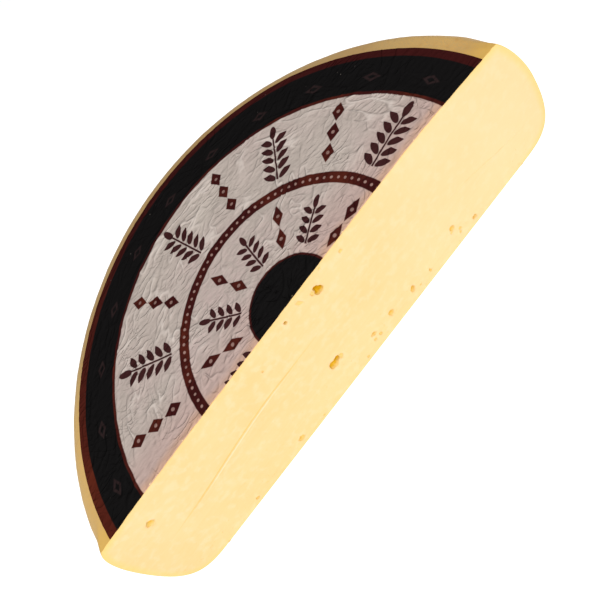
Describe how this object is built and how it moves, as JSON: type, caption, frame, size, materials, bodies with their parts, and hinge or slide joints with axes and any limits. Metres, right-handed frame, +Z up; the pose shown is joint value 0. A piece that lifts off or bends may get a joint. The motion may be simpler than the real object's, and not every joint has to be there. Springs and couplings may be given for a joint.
{
  "type": "raclette half wheel",
  "caption": "Half wheel of semi-hard melting cheese lying on its flat bottom, with a bulging rind heel, a straight cut face with small eyes, and half of a round paper label on top.",
  "frame": {"origin": "middle of the bottom of the bounding box, on the face that the half wheel rests on", "axes": "X along the cut, Y from the cut face back to the rind, Z up through the label"},
  "size_m": [0.3016, 0.15, 0.0764],
  "materials": {
    "cheese_paste": "matte, slightly moist cut paste with a dry tan rind",
    "label_paper": "matte, creased printed paper"
  },
  "bodies": {
    "root": {"cheese": "cheese_paste", "label": "label_paper"}
  },
  "joints": []
}
